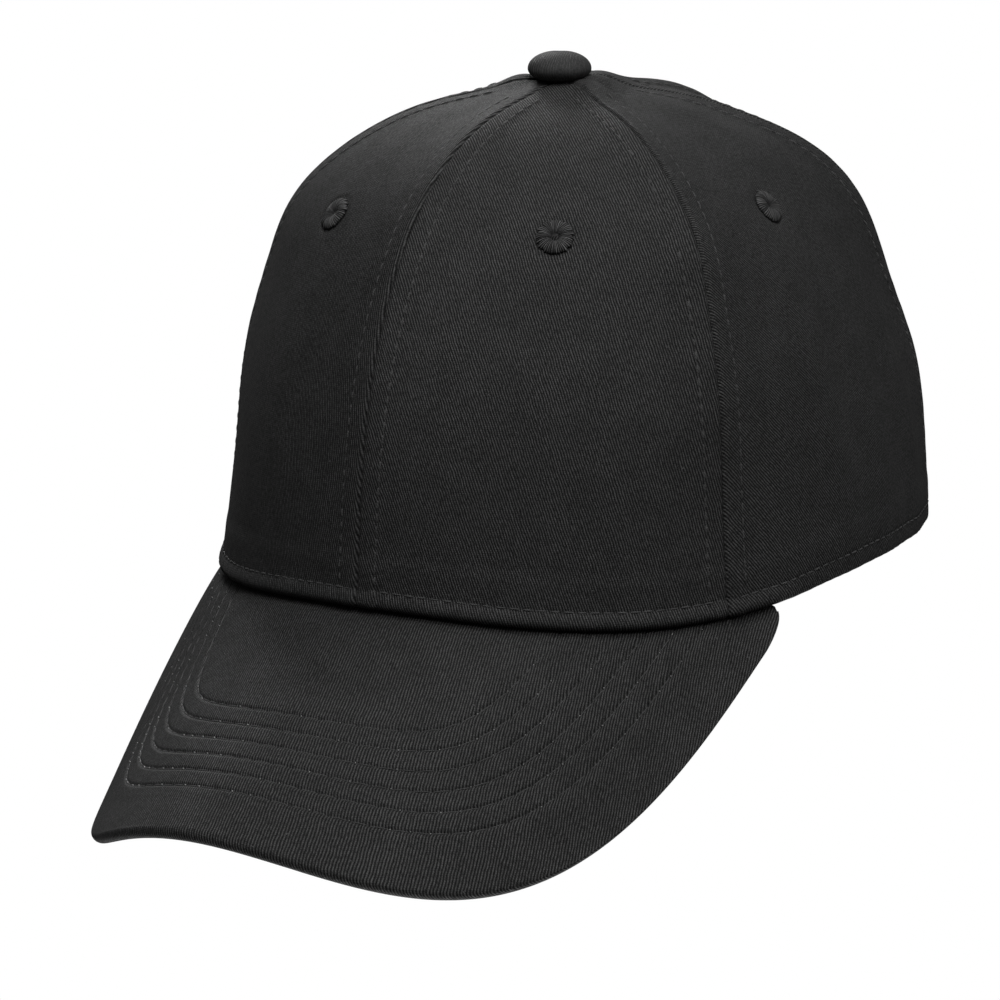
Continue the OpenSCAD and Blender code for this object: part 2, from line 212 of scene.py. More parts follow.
CLIMBS = np.linspace(0, TOP_T, 900)
CLIMBED = travelled(crown(32, CLIMBS))  # cloth length up a panel
TURNS = np.linspace(-180, 180, 1441)
TURNED = travelled(hem_pt(TURNS))  # cloth length round the hem


def arch_z(a):
    c = (180 - folded(a)) / ARCH_ANGLE
    return ARCH_H * np.sqrt(np.maximum(1 - c * c, 0))


# --- what sewing does to the outside of the crown ---

# Height of the seam allowance under the cloth, before and after each seam
ALLOWANCE = ((0.34, 0.34), (0.22, 0.5), (0.3, 0.4), (0.34, 0.34))
SINK, CREASE, CHANNEL = (0.45, 0.65), (0.55, 0.3), (0.28, 0.6)  # depth and width of a seam's marks
HEM_CHANNEL, HEM_FOLD = (0.26, 0.6), 1.5  # the hem's stitch row, and the round of its folded edge
FULL_PANEL = 30  # width below which a panel is too narrow for relief
BILL_TURNS = (66, 84)  # where the hem leaves the bill


def tug(length):
    """How hard each stitch of a row pulls the cloth in."""
    return 0.62 + 0.38 * np.cos(2 * math.pi * length / STITCH)


def unevenness(a, up):
    """Slow waves and folds: small on the stiff front, larger on the soft sides and back."""
    r, h = np.radians(a), up / CROWN_H
    soft = 0.25 + 0.75 * fade(cosd(a), -0.1, 0.75)
    waves = (0.30 * np.sin(4.3 * r + 5.1 * h + 0.4) + 0.22 * np.sin(9.7 * r - 6.3 * h + 2.0)
             + 0.16 * np.sin(15.1 * r + 3.7 * h + 1.1) + 0.12 * np.sin(6.1 * r + 17.0 * h))
    folds = 0.30 * np.sin(26 * r + 2.4 * np.sin(3 * r) + 1.5 * h) * bell(h - 0.28, 0.3)
    return soft * (waves + folds * fade(cosd(a), -0.05, 0.45))


def dent(x, mark):
    depth, width = mark
    return depth * bell(x, width)


def seam_relief(b, wide, along):
    """Each seam's allowances, crease, two stitch rows and puckers."""
    narrow = np.clip(wide * SEAMS[1] / FULL_PANEL, 0, 1)
    out = 0
    for seam, (before, after) in zip(SEAMS, ALLOWANCE):
        off = (b - seam) * wide
        d = np.abs(off)
        out = out + narrow * np.where(off < 0, before, after) * fade(d, 4.7, 6.3)
        out = out - (dent(d, SINK) + dent(d, CREASE)) * (0.4 + 0.6 * narrow)
        out = out - narrow * dent(d - SEAM_ROW, CHANNEL) * tug(along)
        strength = 0.4 + 0.6 * np.sin(along * 0.047 + seam) ** 2
        pucker = np.sin(along * 0.61 + 2.3 * np.sin(along * 0.17 + seam)) * strength
        out = out + 0.05 * narrow * bell(d - 2.5, 2.0) * pucker
    return out


def hem_relief(a, b, up):
    """The folded edge of hem and arch, its stitch row and the roll over the bill."""
    c = (180 - b) / ARCH_ANGLE
    low = np.minimum(up - HEM_CLEAR, (np.hypot(c, up / ARCH_H) - 1) * 55)
    girth = np.interp(wrapped(a), TURNS, TURNED)
    edge = np.clip(1 - low / HEM_FOLD, 0, 1)
    over_bill = fade(b, *BILL_TURNS)
    out = 0.28 * fade(low, 10, 14) - dent(low - HEM_ROW, HEM_CHANNEL) * tug(girth)
    out = out + over_bill * (0.9 * bell(low - 1.8, 2.1) + 0.5 * np.exp(-np.maximum(up, 0) / 4.5))
    out = out - (0.65 + 0.9 * over_bill) * (1 - np.sqrt(np.maximum(1 - edge * edge, 0)))
    return out + 0.07 * fade(low, 6, 9) * np.sin(girth * 1.3 + 2 * np.sin(girth * 0.21))


def relief(a, t):
    """How far the cloth's outside stands proud of the plain crown."""
    b, up = folded(a), over_hem(a, t)
    wide = mm_per_degree(a, t)
    along = np.interp(t, CLIMBS, CLIMBED)
    out = unevenness(a, up) * np.clip(wide * SEAMS[1] / FULL_PANEL, 0, 1)
    # the seams heap up into a ring round the button
    out = out + 2.2 * bell(wide * 180 / math.pi - 11, 7) * fade(cosd(a), 0.1, 0.9)
    return out + seam_relief(b, wide, along) + hem_relief(a, b, up)


def skin(a, t):
    return crown(a, t) + relief(a, t)[..., None] * normal(a, t)


# --- meshes ---


def placed(name, data):
    made = bpy.data.objects.new(name, data)
    bpy.context.scene.collection.objects.link(made)
    return made


def new_piece(name, points, faces, material, uv=None):
    """A mesh piece from points in millimetres; it rides on the cap."""
    mesh = bpy.data.meshes.new(name)
    mesh.from_pydata((points.reshape(-1, 3) * MM).tolist(), [], faces)
    if uv is not None:
        corners = np.zeros(len(mesh.loops), np.int32)
        mesh.loops.foreach_get("vertex_index", corners)
        layer_uv = mesh.uv_layers.new(name="Cloth")
        layer_uv.data.foreach_set("uv", np.asarray(uv, np.float32).reshape(-1, 2)[corners].ravel())
    mesh.polygons.foreach_set("use_smooth", [True] * len(mesh.polygons))
    mesh.materials.append(material)
    mesh.update()
    piece = placed(name, mesh)
    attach(piece, "cap")
    return piece


def shell_faces(keep):
    """Faces of a closed shell between two grids of points, with holes where keep is false."""
    rows, cols = keep.shape[0] + 1, keep.shape[1] + 1
    n = rows * cols
    i = np.arange(n).reshape(rows, cols)
    a, b, c, d = i[:-1, :-1], i[:-1, 1:], i[1:, 1:], i[1:, :-1]
    out = np.pad(keep, 1)
    quads = np.stack([a, b, c, d], -1)[keep]
    sides = [(a, b, out[:-2, 1:-1]), (b, c, out[1:-1, 2:]), (c, d, out[2:, 1:-1]), (d, a, out[1:-1, :-2])]
    walls = [np.stack([q, p, p + n, q + n], -1)[keep & ~beyond] for p, q, beyond in sides]
    return np.concatenate([quads, quads[:, ::-1] + n, *walls]).tolist()


def shell(name, outer, inner, material, uv, keep=None):
    """A closed piece of cloth between its outer and inner faces."""
    if keep is None:
        keep = np.ones((outer.shape[0] - 1, outer.shape[1] - 1), bool)
    points = np.concatenate([outer.reshape(-1, 3), inner.reshape(-1, 3)])
    coords = np.concatenate([uv.reshape(-1, 2)] * 2)
    return new_piece(name, points, shell_faces(keep), material, coords)


def declare(node):
    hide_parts(node)


def grain(x, y, lean=0):
    """Cloth coordinates, turned so that the twill lines lean left by lean degrees."""
    return np.stack([x * cosd(lean) + y * sind(lean), y * cosd(lean) - x * sind(lean)], -1)


def threads(name, starts, ends, up, material, radius=THREAD_R):
    """One piece of short sewn threads that dip into the cloth at both ends."""
    along = ends - starts
    side = unit(np.cross(along, up))
    up = unit(np.cross(side, along))
    share = np.linspace(0, 1, 7)
    swell = radius * np.array([0.45, 0.9, 1, 1.04, 1, 0.9, 0.45])
    height = radius * (1.5 * np.sqrt(np.sin(math.pi * share)) - 0.9)
    turn = np.arange(6) * math.pi / 3
    centre = starts[:, None] + along[:, None] * share[:, None] + up[:, None] * height[:, None]
    ring = np.cos(turn)[:, None] * side[:, None, None] + np.sin(turn)[:, None] * up[:, None, None]
    points = centre[:, :, None] + swell[:, None, None] * ring
    k = np.arange(6)
    after = (k + 1) % 6
    one = np.stack([k, after, after + 6, k + 6], -1) + 6 * k[:, None, None]
    first = 42 * np.arange(len(starts))[:, None, None]
    quads = (one.reshape(-1, 4) + first).reshape(-1, 4).tolist()
    caps = (np.stack([k[::-1], 36 + k]) + first).reshape(-1, 6).tolist()
    new_piece(name, points, quads + caps, material)


def stitch_line(line, pitch, share=0.82):
    """Fractional positions in a line of points where its stitches start and end."""
    length = travelled(line)
    starts = np.arange(0.3 * pitch, length[-1] - pitch, pitch)
    index = np.arange(len(line))
    return np.interp(starts, length, index), np.interp(starts + share * pitch, length, index)


def at(line, index):
    """Points of a line at fractional positions."""
    return np.stack([np.interp(index, np.arange(len(line)), v) for v in line.T], -1)


def sewn_along(line, out):
    """Starts, ends and upward directions of a row of stitches. out is up along the line."""
    first, second = stitch_line(line, STITCH)
    return at(line, first), at(line, second), at(out, first)


def joined(rows):
    """Several rows of stitches as one."""
    return [np.concatenate(part) for part in zip(*rows)]


# --- materials ---


class Paint:
    """Builds one material's nodes."""

    def __init__(self, name):
        self.material = bpy.data.materials.new(name)
        self.material.use_nodes = True
        self.tree = self.material.node_tree
        self.shader = self.tree.nodes["Principled BSDF"]

    def node(self, kind, inputs=(), out=0, **settings):
        made = self.tree.nodes.new("ShaderNode" + kind)
        for key, value in settings.items():
            setattr(made, key, value)
        pairs = inputs.items() if isinstance(inputs, dict) else enumerate(inputs)
        for key, value in pairs:
            self.put(made.inputs[key], value)
        return made.outputs[out]

    def put(self, socket, value):
        if isinstance(value, bpy.types.NodeSocket):
            self.tree.links.new(value, socket)
        else:
            socket.default_value = value

    def math(self, operation, *inputs):
        return self.node("Math", inputs, operation=operation)

    def times(self, a, b):
        return self.math("MULTIPLY", a, b)

    def noise(self, vector, scale, detail=2.0):
        return self.node("TexNoise", {"Vector": vector, "Scale": scale, "Detail": detail})

    def stretched(self, vector, x, y, z=1.0):
        return self.node("Mapping", {"Vector": vector, "Scale": (x, y, z)})

    def split(self, vector):
        """The X and Y outputs of a vector."""
        return self.node("SeparateXYZ", (vector,), slice(0, 2))

    def wave(self, turns):
        """A sine of so many turns, from 0 to 1."""
        angle = self.times(turns, 2 * math.pi)
        return self.math("MULTIPLY_ADD", self.math("SINE", angle), 0.5, 0.5)

    def ramp(self, value, low, high, first=0.0, last=1.0):
        return self.node("MapRange", {"Value": value, "From Min": low, "From Max": high,
                                      "To Min": first, "To Max": last}, clamp=True)

    def mix(self, share, first, second):
        return self.node("Mix", {0: share, 6: first, 7: second}, 2, data_type="RGBA")

    def finish(self, colour, roughness, height, depth, **constants):
        """Wires the shader. depth is the bump's, in metres; constants are other inputs."""
        bump = self.node("Bump", {"Height": height, "Distance": depth, "Strength": 1.0})
        self.put(self.shader.inputs["Base Color"], colour)
        self.put(self.shader.inputs["Roughness"], roughness)
        self.put(self.shader.inputs["Normal"], bump)
        for key, value in constants.items():
            self.shader.inputs[key.replace("_", " ")].default_value = value
        return self.material


def grey(value, warmth=0.0):
    """A grey, a little redder and less blue with warmth."""
    return (value * (1 + warmth), value, value * (1 - warmth), 1)


def twill(name, dark, light, pitch=0.63, depth=0.00010, lint=0.13, gloss=0.5):
    """Cotton twill with uneven yarn, fading and lint, lighter on its ridges and darker in its grooves:
    painted light and shade. pitch in mm, depth in metres.
    """
    p = Paint(name)
    cloth = p.node("UVMap", uv_map="Cloth")
    place = p.node("TexCoord", out=3)
    across, along = p.split(cloth)
    wobble = p.times(p.math("SUBTRACT", p.noise(cloth, 0.22, 3), 0.5), 0.7)
    wale = p.math("DIVIDE", p.math("ADD", across, wobble), pitch)
    ridge = p.math("POWER", p.wave(wale), 1.8)
    step = p.math("MULTIPLY_ADD", p.math("FLOOR", wale), 0.37, p.math("DIVIDE", along, pitch * 0.8))
    floats = p.wave(step)
    slub = p.ramp(p.noise(p.stretched(cloth, 1.05 / pitch, 0.9), 1.0, 3), 0.32, 0.66)
    fuzz = p.ramp(p.noise(cloth, 3.4, 4), 0.28, 0.72)
    clear = p.ramp(p.noise(cloth, 0.13, 3), 0.35, 0.62, 0.75, 1.0)
    height = p.times(ridge, p.math("MULTIPLY_ADD", slub, 0.8, 0.3))
    height = p.times(height, p.math("MULTIPLY_ADD", floats, 0.5, 0.6))
    height = p.times(height, clear)
    height = p.math("ADD", height, p.times(fuzz, 0.36))
    faded = p.ramp(p.noise(place, 30, 4), 0.35, 0.65, 0.92, 1.08)
    # The tone follows the weave's height: painted shade in the grooves and painted light on the ridges; the
    # fading is the cloth's own.
    tone = p.times(p.ramp(height, 0.12, 1.0), faded)
    specks = p.ramp(p.noise(cloth, 1.15, 1), 0.755, 0.80)
    colour = p.mix(specks, p.mix(tone, grey(dark), grey(light)), grey(lint))
    rough = p.ramp(tone, 0, 1, gloss + 0.3, gloss - 0.1)
    return p.finish(colour, rough, height, depth, Sheen_Weight=0.02, Sheen_Roughness=0.45,
                    Specular_IOR_Level=0.25)


def weave(name, dark, light, pitch, depth=0.0002, open_share=0.0):
    """Plain weave, darker between the threads: painted shade, with wide dark gaps for an open cloth."""
    p = Paint(name)
    cloth = p.node("UVMap", uv_map="Cloth")
    across, along = (p.wave(p.math("DIVIDE", axis, pitch)) for axis in p.split(cloth))
    height = p.math("MAXIMUM", across, along)
    height = p.math("MULTIPLY_ADD", p.noise(cloth, 1.4, 2), 0.4, height)
    # Darker where the threads dip and in the gaps: painted shade.
    tone = p.ramp(height, 0.25 + open_share, 1.3)
    colour = p.mix(tone, grey(dark), grey(light))
    rough = p.ramp(p.noise(cloth, 0.3, 2), 0.3, 0.7, 0.8, 0.95)
    return p.finish(colour, rough, height, depth, Sheen_Weight=0.2, Sheen_Roughness=0.5,
                    Specular_IOR_Level=0.25)


def thread_paint(name, dark, light, sheen):
    """Twisted sewing thread, lighter on the crest of each twist and darker between: painted light and shade.
    """
    p = Paint(name)
    place = p.node("TexCoord", out=3)
    twist = p.node("TexWave", {"Vector": place, "Scale": 900, "Distortion": 2.0}, bands_direction="DIAGONAL")
    uneven = p.ramp(p.noise(place, 60), 0.3, 0.7, 0.6, 1.0)
    # Lighter on each twist's crest, darker between: painted light and shade; the uneven tone is the thread's
    # own.
    tone = p.times(p.ramp(twist, 0.2, 0.8, 0.4, 1.0), uneven)
    return p.finish(p.mix(tone, grey(dark), grey(light)), p.ramp(twist, 0, 1, 0.45, 0.65), twist, 0.00006,
                    Sheen_Weight=sheen, Specular_IOR_Level=0.4)


def eyelet_paint(name, dark, light):
    """Shiny embroidery threads that run out from the eyelet's hole, light along each crest and dark between:
    painted highlight and painted shade.
    """
    p = Paint(name)
    cloth = p.node("UVMap", uv_map="Cloth")
    rib = p.math("ABSOLUTE", p.math("SINE", p.times(p.split(cloth)[0], math.pi)))
    each = p.ramp(p.noise(p.stretched(cloth, 0.9, 0.12), 1.0, 1), 0.35, 0.7, 0.15, 1.0)
    # Light along each thread's crest, a painted highlight; dark between the threads, painted shade.
    tone = p.times(p.math("POWER", rib, 3.0), each)
    return p.finish(p.mix(tone, grey(dark), grey(light)), p.ramp(tone, 0, 1, 0.7, 0.4), rib, 0.00008,
                    Sheen_Weight=0.05, Specular_IOR_Level=0.4)


def metal(name, dark, light, roughness):
    """Metal with fine drawn lines and handling marks."""
    p = Paint(name)
    place = p.node("TexCoord", out=3)
    lines = p.noise(p.stretched(place, 400, 400, 9000), 1.0, 3)
    marks = p.noise(place, 220, 5)
    tone = p.times(p.ramp(lines, 0.3, 0.7, 0.6, 1.0), p.ramp(marks, 0.35, 0.6, 0.75, 1.0))
    handled = p.ramp(marks, 0.3, 0.7, roughness - 0.08, roughness + 0.12)
    rough = p.math("ADD", handled, p.ramp(lines, 0, 1, 0, 0.1))
    colour = p.mix(tone, grey(dark, 0.03), grey(light, 0.02))
    return p.finish(colour, rough, lines, 0.00002, Metallic=1.0)


def board_paint(name):
    """Pale moulded board with a faint grain."""
    p = Paint(name)
    place = p.node("TexCoord", out=3)
    grainy = p.noise(place, 700, 4)
    tone = p.ramp(p.noise(place, 40, 3), 0.3, 0.7)
    return p.finish(p.mix(tone, grey(0.55, 0.03), grey(0.68, 0.02)), p.ramp(grainy, 0, 1, 0.5, 0.7), grainy,
                    0.00004)


TWILL = twill("black_twill", 0.001, 0.145)
# The bill's twill, with a wider pitch and a light end darker than the crown's: painted shade that brings the
# bill's tone down.
BILL_TWILL = twill("bill_twill", 0.001, 0.132, pitch=0.7, depth=0.00011)
BUTTON_TWILL = twill("button_twill", 0.030, 0.135, pitch=0.45, depth=0.00005)
EYELET_THREAD = eyelet_paint("eyelet_thread", 0.004, 0.28)
TAPE = weave("tape_weave", 0.006, 0.030, 0.55)
BAND = twill("sweatband_cotton", 0.010, 0.045, pitch=0.5, lint=0.05, gloss=0.7)
BUCKRAM = weave("buckram_weave", 0.004, 0.05, 1.3, 0.0005, 0.3)
THREAD = thread_paint("black_thread", 0.014, 0.125, 0.15)
# Pale flecks at the bill's needle holes: painted highlights of light glinting on the black thread.
THREAD_GLINT_PAINT = thread_paint("painted_thread_glints", 0.35, 0.80, 0.3)
CLASP_METAL = metal("clasp_metal", 0.30, 0.52, 0.42)
BUTTON_METAL = metal("pressed_aluminium", 0.45, 0.68, 0.38)
BOARD = board_paint("bill_board")

# --- crown panels ---

# Distances of the mesh's lines from a panel's hem and from its seams, closest at creases and stitch rows
NEAR_EDGE = np.array([0, .15, .3, .5, .75, 1.1, 1.6, 2.2, 2.9, 3.5, 3.9, 4.2, 4.5, 4.8, 5.1, 5.5, 6.1,
                      6.9, 7.7])
NEAR_SEAM = np.array([0, .2, .4, .6, .85, 1.15, 1.6, 2.2, 2.9, 3.6, 4.1, 4.45, 4.75, 5.0, 5.25, 5.55, 5.9,
                      6.4, 7.0, 7.8])
CELL = 0.85
PANELS = ("front", "side", "back")
LEANS = {"front": 19, "side": 38, "back": 19}  # lean of the twill, in degrees
HEM_END = 149  # turn at which the hem's stitch row gives way to the arch's


def middle_shares(first, last):
    """Places of a panel's middle columns, 0 to 1, closer where the arch rises."""
    if max(abs(first), abs(last)) < 180:
        return np.linspace(0, 1, 97)
    low = np.arange(SEAMS[2], 180 - ARCH_ANGLE, 0.42)
    angles = np.concatenate([low, 180 - ARCH_ANGLE * cosd(np.linspace(0, 90, 70))])
    places = np.interp(angles, TURNS, TURNED)
    shares = (places - places[0]) / (places[-1] - places[0])
    return shares if last == 180 else 1 - shares[::-1]


def panel_grid(first, last):
    """Turn and climb angles of a panel's points, and its flat cloth coordinates."""
    heights = np.concatenate([NEAR_EDGE, np.arange(NEAR_EDGE[-1] + CELL, CLIMBED[-1], CELL)])
    climbs = np.interp(heights, CLIMBED, CLIMBS)
    fine = np.linspace(first, last, 241)
    middle = middle_shares(first, last)
    turns, across = [], []
    for t in climbs:
        length = travelled(crown(fine, t))
        near = NEAR_SEAM * min(1, 0.4 * length[-1] / NEAR_SEAM[-1])
        centre = near[-1] + middle[1:-1] * (length[-1] - 2 * near[-1])
        place = np.concatenate([near, centre, length[-1] - near[::-1]])
        turns.append(np.interp(place, length, fine))
        across.append(place - length[-1] / 2)
    turns, across = np.array(turns), np.array(across)
    low = climb(turns, HEM_CLEAR + arch_z(turns))
    share = ((climbs - climbs[0]) / (climbs[-1] - climbs[0]))[:, None]
    rising = low + (climbs[-1] - low) * share
    return turns, rising, across, np.interp(rising, CLIMBS, CLIMBED)


def make_panel(word, hand, first, last, eyelet):
    turns, climbs, across, up = panel_grid(first, last)
    base, out = crown(turns, climbs), normal(turns, climbs)
    centre = crown(eyelet, EYELET_RISE)
    ring = norm(base - centre) - EYELET_R
    outer = base + (relief(turns, climbs) - 0.4 * bell(ring, 0.9))[..., None] * out
    middle = (base[1:, 1:] + base[:-1, :-1]) / 2
    keep = norm(middle - centre) > EYELET_R - 1.9
    piece = shell(f"{word}_{hand}_cloth", outer, base - CLOTH * out, TWILL,
                  grain(across, up, LEANS[word]), keep)
    declare(f"{word}_panel_{hand}")


def make_crown():
    for word, first, last, eyelet in zip(PANELS, SEAMS, SEAMS[1:], EYELET_TURNS):
        make_panel(word, "left", first, last, eyelet)
        make_panel(word, "right", -last, -first, -eyelet)


def crown_stitches():
    rows = []

    def sew(a0, t0, a1, t1):
        rows.append((skin(a0, t0), skin(a1, t1), normal((a0 + a1) / 2, (t0 + t1) / 2)))

    for seam in (*SEAMS, -SEAMS[2], -SEAMS[1]):
        low = ARCH_CLEAR if seam == 180 else 5.5
        lengths = np.arange(STITCH * math.ceil(low / STITCH), CLIMBED[-1] - 15, STITCH)
        t0, t1 = (np.interp(lengths + share * STITCH, CLIMBED, CLIMBS) for share in STITCH_ENDS)
        for side in (-1, 1):
            a0, a1 = (wrapped(seam + side * SEAM_ROW / mm_per_degree(seam, t)) for t in (t0, t1))
            sew(a0, t0, a1, t1)
    begin, end = np.interp((-HEM_END, HEM_END), TURNS, TURNED) / STITCH
    places = np.arange(math.ceil(begin), end - 1) * STITCH
    a0, a1 = (np.interp(places + share * STITCH, TURNED, TURNS) for share in STITCH_ENDS)
    sew(a0, climb(a0, HEM_ROW + HEM_CLEAR), a1, climb(a1, HEM_ROW + HEM_CLEAR))
    bend = np.linspace(6, 174, 600)
    arch_a = 180 - (ARCH_ANGLE + HEM_ROW / 1.9) * cosd(bend)
    arch_t = climb(arch_a, (ARCH_H + HEM_ROW) * sind(bend))
    arch = np.stack([arch_a, arch_t], -1)
    first, second = stitch_line(crown(arch_a, arch_t), STITCH)
    sew(*at(arch, first).T, *at(arch, second).T)
    threads("crown_stitches", *joined(rows), THREAD)


# --- eyelets and button ---


# An eyelet's section: radius, height, how much the threads show, how far each thread reaches.
# The second list is the same on the inside of the cloth, with heights below its depth.
EYELET_FACE = ((EYELET_HOLE, 0.05, 0.2, 0), (1.12, 0.38, 0.7, 0), (1.45, 0.66, 1, 0), (1.95, 0.86, 1, 0),
               (2.5, 0.94, 1, 0), (3.0, 0.92, 1, 0), (3.5, 0.80, 1, 0.2), (3.95, 0.58, 1, 0.6),
               (4.3, 0.30, 1, 1), (4.5, -0.02, 0.6, 1), (4.2, -0.12, 0, 0.5), (2.6, -0.15, 0, 0))
EYELET_BACK = ((2.6, -0.1, 0, 0), (4.2, -0.15, 0, 0.5), (4.4, -0.4, 0.8, 1), (3.6, -0.75, 1, 0.3),
               (2.4, -0.8, 1, 0), (1.3, -0.6, 1, 0))
EYELET_THREADS, EYELET_SIDES = 46, 8  # threads round an eyelet, and mesh columns for each


def make_eyelet(name, node, a, depth):
    """A ring of radial threads worked round a small hole."""
    angle = np.linspace(0, 2 * math.pi, EYELET_THREADS * EYELET_SIDES, endpoint=False)
    rng = np.random.default_rng(int(abs(a)) + (a < 0) * 500)
    reach = np.repeat(rng.uniform(-0.32, 0.22, EYELET_THREADS), EYELET_SIDES)
    proud = np.repeat(rng.uniform(-0.06, 0.06, EYELET_THREADS), EYELET_SIDES)
    rib = np.abs(np.sin(angle * EYELET_THREADS / 2)) ** 0.6
    section = [(EYELET_HOLE, -depth, 0, 0), *EYELET_FACE]
    section += [(radius, height - depth, show, jut) for radius, height, show, jut in EYELET_BACK]
    side = unit(crown(a + 0.3, EYELET_RISE) - crown(a - 0.3, EYELET_RISE))
    out = normal(a, EYELET_RISE)
    up = np.cross(out, side)
    centre = skin(a, EYELET_RISE) + 0.05 * out
    rings = []
    for radius, height, show, jut in section:
        r = radius + jut * reach
        z = height + show * np.sign(height + depth / 2) * (0.17 * (rib - 0.6) + proud) - r * r / 170
        rings.append(centre + r[:, None] * (np.cos(angle)[:, None] * side + np.sin(angle)[:, None] * up)
                     + z[:, None] * out)
    n, rows = len(angle), len(section)
    k, j = np.arange(n), np.arange(rows)[:, None]
    after, above = (k + 1) % n, (j + 1) % rows
    faces = np.stack([j * n + k, above * n + k, above * n + after, j * n + after], -1)
    uv = grain(angle / (2 * math.pi) * EYELET_THREADS, np.array(section)[:, :1])
    piece = new_piece(name, np.array(rings), faces.reshape(-1, 4).tolist(), EYELET_THREAD, uv)
    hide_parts(node)


def make_eyelets():
    for word, a, depth in zip(PANELS, EYELET_TURNS, (1.1, 1.0, 1.0)):
        make_eyelet(f"{word}_left_eyelet", f"eyelet_{word}_left", a, depth)
        make_eyelet(f"{word}_right_eyelet", f"eyelet_{word}_right", -a, depth)


def make_button():
    """The cloth-covered button: a soft dome gathered in underneath."""
    turn = np.linspace(0, 360, 181)[:-1]
    rows = []
    for q in np.linspace(-72, 89.6, 48):
        r, z = BUTTON_R * cosd(q) ** 0.9, 3.2 + (4.2 if q > 0 else 3.2) * sind(q)
        pleat = 0.14 * fade(z, 0.3, 3.4) * (sind(turn * 13) + 0.6 * sind(turn * 7 + 40))
        radius = r + pleat + 0.10 * sind(turn * 2 + 30) * (r / BUTTON_R)
        up = BUTTON_Z + z + 0.05 * sind(turn * 3)
        rows.append(np.stack([radius * sind(turn), -radius * cosd(turn), up], -1))
    outer = np.array(rows)
    axis = np.array([0, 0, BUTTON_Z + 3.1])
    inner = axis + (outer - axis) * (1 - 0.6 / norm(outer - axis)[..., None])
    outer, inner = (np.concatenate([g, g[:, :1]], 1) for g in (outer, inner))
    flat = (outer - axis)[..., :2]
    flat = flat * (1 + 0.25 * (norm(flat) / BUTTON_R) ** 2)[..., None]
    piece = shell("button_cloth", outer, inner, BUTTON_TWILL, grain(flat[..., 0], flat[..., 1], 40))
    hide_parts("button_cover")


# --- bill: u runs from end to end, s is the distance out from the hem ---

BILL_Y0 = -FRONT * cosd(BILL_ANGLE)
BILL_REACH = FRONT + BILL_LEN + BILL_Y0
ROLL_R = BILL_T / 2  # round of the bill's edge
CORNER, BILL_END = 0.945, 0.985  # u where the bill's corner starts, and where the bill ends
BILL_LEAN = 13
ROW_SINK, PIT_SINK, ROW_W = 0.34, 0.12, 0.5  # depth of a stitch row, of its needle holes, and its width
STITCH_SINK = 0.26  # how far the bill's stitches lie below its plain surface
RAISED_BY = 2.6  # distance from the outer rows to where the padding starts
# Distances of the mesh's lines from a stitch row and from the hem
NEAR_ROW = np.array([-1.5, -1.1, -.8, -.5, -.25, 0, .25, .5, .8, 1.1, 1.5])
NEAR_HEM = np.array([3.4, 2.6, 1.9, 1.3, 0.8, 0.4, 0])


def bill_run(u):
    """The way, level, from the hem to the bill's edge."""
    rim = np.stack([BILL_SIDE * sind(90 * u), BILL_Y0 - BILL_REACH * cosd(90 * u)], -1)
    x = np.clip((np.abs(u) - CORNER) / (BILL_END - CORNER), 0, 1)
    corner = 1 - 0.75 * (1 - np.sqrt(1 - x * x))
    return corner[..., None] * (rim - hem_pt(u * BILL_ANGLE)[..., :2])


def slope(u):
    return SLOPE_MID + SLOPE_END * u ** 2 - SLOPE_EASE * u ** 4


def bill(u, s):
    """Points of the bill's plain upper surface."""
    u, s = np.broadcast_arrays(u, s)
    p, run = hem_pt(u * BILL_ANGLE), unit(bill_run(u))
    inward = unit(p[..., :2])
    flat = p[..., :2] + s[..., None] * np.where(s[..., None] < 0, inward, run)
    drop = slope(u) * np.maximum(s, 0)
    return np.concatenate([flat, (p[..., 2] - drop)[..., None]], -1)


def bill_down(u, s):
    """The direction into the bill."""
    s = np.maximum(s, 0.25)
    return unit(np.cross(bill(u + 0.004, s) - bill(u - 0.004, s), bill(u, s + 0.2) - bill(u, s - 0.2)))


def rim_distance(points):
    """Distance from points to the bill's edge."""
    u = np.linspace(-BILL_END, BILL_END, 1400)
    rim = bill(u, norm(bill_run(u)))
    flat = points.reshape(-1, 3)
    best = np.full(len(flat), 1e9)
    for part in np.array_split(rim, 40):
        best = np.minimum(best, norm(flat[:, None] - part[None]).min(1))
    return best.reshape(points.shape[:-1])


def out_from_rim(u):
    """For each u, a table from the distance to the bill's edge to s."""
    length = norm(bill_run(u))
    share = np.linspace(1, 0, 60)
    s = length[:, None] * share
    inward = np.maximum.accumulate(rim_distance(bill(u[:, None], s)), axis=1)
    inward[:, 0] = 0
    return s, inward


def sewn_rows():
    """The stitch rows of the bill: u, s and the length sewn so far along each."""
    u = np.linspace(-BILL_END + 0.01, BILL_END - 0.01, 700)
    s, inward = out_from_rim(u)
    rows = []
    for row in BILL_ROWS:
        reached = inward[:, -1] > row + 0.6
        places = np.array([np.interp(row, d, q) for d, q in zip(inward[reached], s[reached])])
        rows.append((u[reached], places, travelled(bill(u[reached], places))))
    return rows


SEWN_ROWS = sewn_rows()


def bill_relief(inward, along, u):
    """Stitched channels, with a small pit at each needle hole."""
    out = 0.05 * np.sin(inward * 0.31 + 0.04 * along) + 0.05 * np.sin(along * 0.11 + 2)
    for row, (sewn_u, _, sewn) in zip(BILL_ROWS, SEWN_ROWS):
        hole = np.interp(u, sewn_u, sewn) / BILL_STITCH - 0.24
        pit = (0.5 + 0.5 * np.cos(2 * math.pi * hole)) ** 6
        out = out - (ROW_SINK + PIT_SINK * pit) * bell(inward - row, ROW_W)
    first, last = BILL_ROWS[0] - RAISED_BY, BILL_ROWS[-1] + RAISED_BY
    return out + 0.10 * fade(inward, last, last + 3) * fade(-inward, -first, -first + 3)


